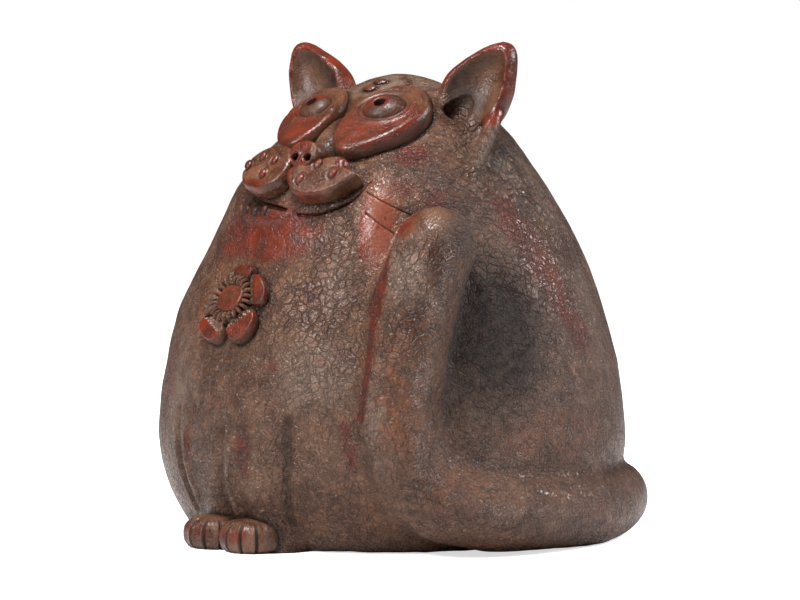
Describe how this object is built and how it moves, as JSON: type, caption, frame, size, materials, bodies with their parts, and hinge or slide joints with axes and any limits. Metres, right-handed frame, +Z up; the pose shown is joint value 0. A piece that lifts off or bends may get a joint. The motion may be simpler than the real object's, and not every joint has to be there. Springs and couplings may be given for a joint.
{
  "type": "cat figurine",
  "caption": "Seated clay cat: a hollow bell-shaped body, open underneath, with cupped ears, a face of pressed pads, a chest flower, front paws and a tail that wraps the foot and stands up.",
  "frame": {"origin": "middle of the overall footprint, on the floor it stands on", "axes": "+Z up; the paws point to -Y; the cat's left side, where the tail stands up, is +X"},
  "size_m": [0.2188, 0.22, 0.2206],
  "materials": {
    "fired_clay": "crackled, semi-gloss, grey-brown over red-brown clay"
  },
  "bodies": {
    "root": {"cat_figurine": "fired_clay"}
  },
  "joints": []
}
